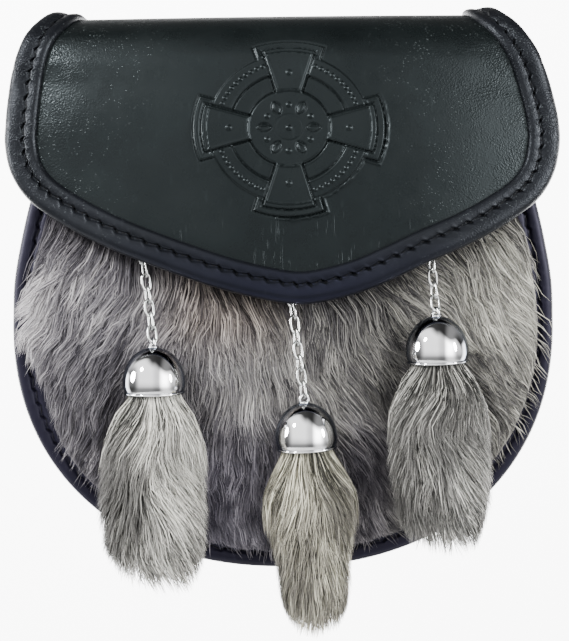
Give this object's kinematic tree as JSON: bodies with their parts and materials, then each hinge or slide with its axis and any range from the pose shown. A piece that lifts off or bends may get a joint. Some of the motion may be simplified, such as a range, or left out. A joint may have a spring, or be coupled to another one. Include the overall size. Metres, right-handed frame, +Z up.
{
  "type": "sporran pouch",
  "caption": "Round leather pouch worn at the front of the waist, with a fur front, an embossed flap and fur tassels hung on chains.",
  "frame": {"origin": "on the back panel's outer face, midway between the two belt loops, on the line of the strap that holds the pouch up", "axes": "+X to the right of somebody who looks at the front, -Y out of the front, +Z up"},
  "size_m": [0.1933, 0.0732, 0.2182],
  "materials": {
    "black_leather": "smooth, half gloss",
    "embossed_leather": "grained and embossed, half gloss",
    "grey_fur": "long wavy fur, dark at the roots and silver at the tips",
    "tassel_fur": "long straight fur in locks",
    "bright_metal": "polished",
    "dull_metal": "satin"
  },
  "bodies": {
    "root": {"back_panel": "black_leather", "belt_loop_left": "black_leather", "belt_loop_right": "black_leather", "cap_left": "bright_metal", "cap_middle": "bright_metal", "cap_right": "bright_metal", "chain_staple_left": "dull_metal", "chain_staple_middle": "dull_metal", "chain_staple_right": "dull_metal", "flap": "embossed_leather", "flap_border": "black_leather", "front_panel": "black_leather", "fur_front": "grey_fur", "gusset": "black_leather", "link_left_01": "bright_metal", "link_left_02": "bright_metal", "link_left_03": "bright_metal", "link_left_04": "bright_metal", "link_left_05": "bright_metal", "link_left_06": "bright_metal", "link_left_07": "bright_metal", "link_left_08": "bright_metal", "link_middle_01": "bright_metal", "link_middle_02": "bright_metal", "link_middle_03": "bright_metal", "link_middle_04": "bright_metal", "link_middle_05": "bright_metal", "link_middle_06": "bright_metal", "link_middle_07": "bright_metal", "link_middle_08": "bright_metal", "link_middle_09": "bright_metal", "link_right_01": "bright_metal", "link_right_02": "bright_metal", "link_right_03": "bright_metal", "link_right_04": "bright_metal", "link_right_05": "bright_metal", "link_right_06": "bright_metal", "press_stud": "dull_metal", "tassel_left": "tassel_fur", "tassel_middle": "tassel_fur", "tassel_right": "tassel_fur"}
  },
  "joints": []
}
